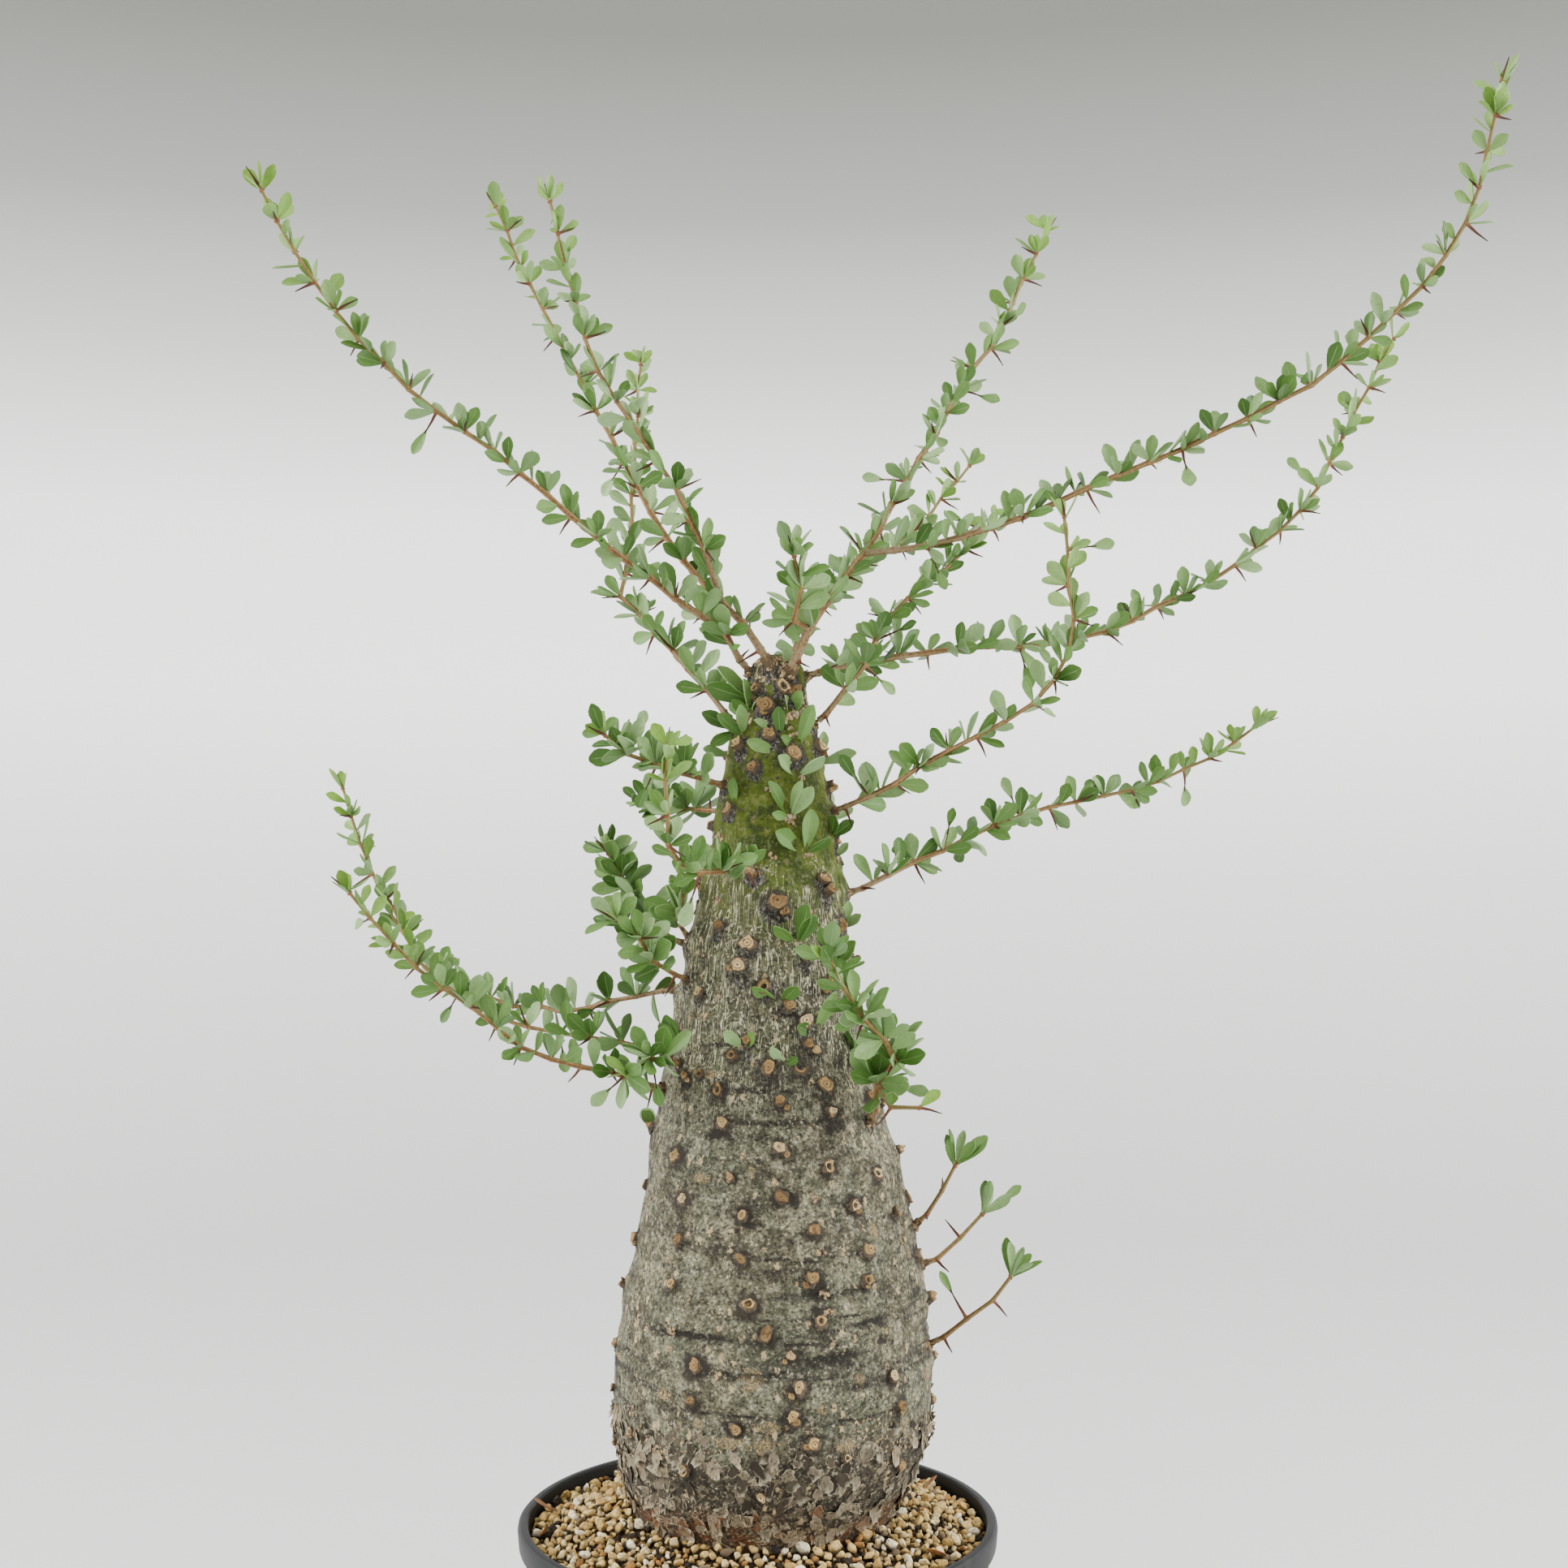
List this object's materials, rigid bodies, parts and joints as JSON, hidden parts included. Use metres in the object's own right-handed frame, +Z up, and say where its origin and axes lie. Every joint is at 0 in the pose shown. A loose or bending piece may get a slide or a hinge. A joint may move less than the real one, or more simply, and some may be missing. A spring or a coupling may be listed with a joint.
{
  "type": "potted plant",
  "caption": "Potted caudex plant: bottle-shaped knobbly trunk in a round black nursery pot of gravel, with long thorny branches of small oval leaves.",
  "frame": {"origin": "centre of the flat underside of the pot", "axes": "+Z up the trunk; +X to the right and +Y away from a viewer who stands at the front"},
  "size_m": [0.5903, 0.3028, 0.8983],
  "materials": {
    "pot": "matte",
    "gravel": "matte",
    "bark": "matte",
    "leafy_stem": "satin"
  },
  "bodies": {
    "root": {"pot": "pot", "gravel": "gravel", "trunk": "bark", "branch_back_right": "leafy_stem", "branch_front_left": "leafy_stem", "branch_front_right": "leafy_stem", "branch_left_long": "leafy_stem", "branch_left_twin": "leafy_stem", "branch_left_upright": "leafy_stem", "branch_low_left_back": "leafy_stem", "branch_low_left_front": "leafy_stem", "branch_low_left_middle": "leafy_stem", "branch_mid_left": "leafy_stem", "branch_mid_left_back": "leafy_stem", "branch_mid_left_low": "leafy_stem", "branch_mid_left_rising": "leafy_stem", "branch_right_crossing": "leafy_stem", "branch_right_fork": "leafy_stem", "branch_right_long": "leafy_stem", "branch_right_low": "leafy_stem", "branch_right_turned_up": "leafy_stem", "twig_back_lower": "leafy_stem", "twig_back_side": "leafy_stem", "twig_back_upper": "leafy_stem", "twig_left_near": "leafy_stem", "twig_left_upright": "leafy_stem", "twig_right_lower": "leafy_stem", "twig_right_middle": "leafy_stem", "twig_right_upper": "leafy_stem"}
  },
  "joints": []
}
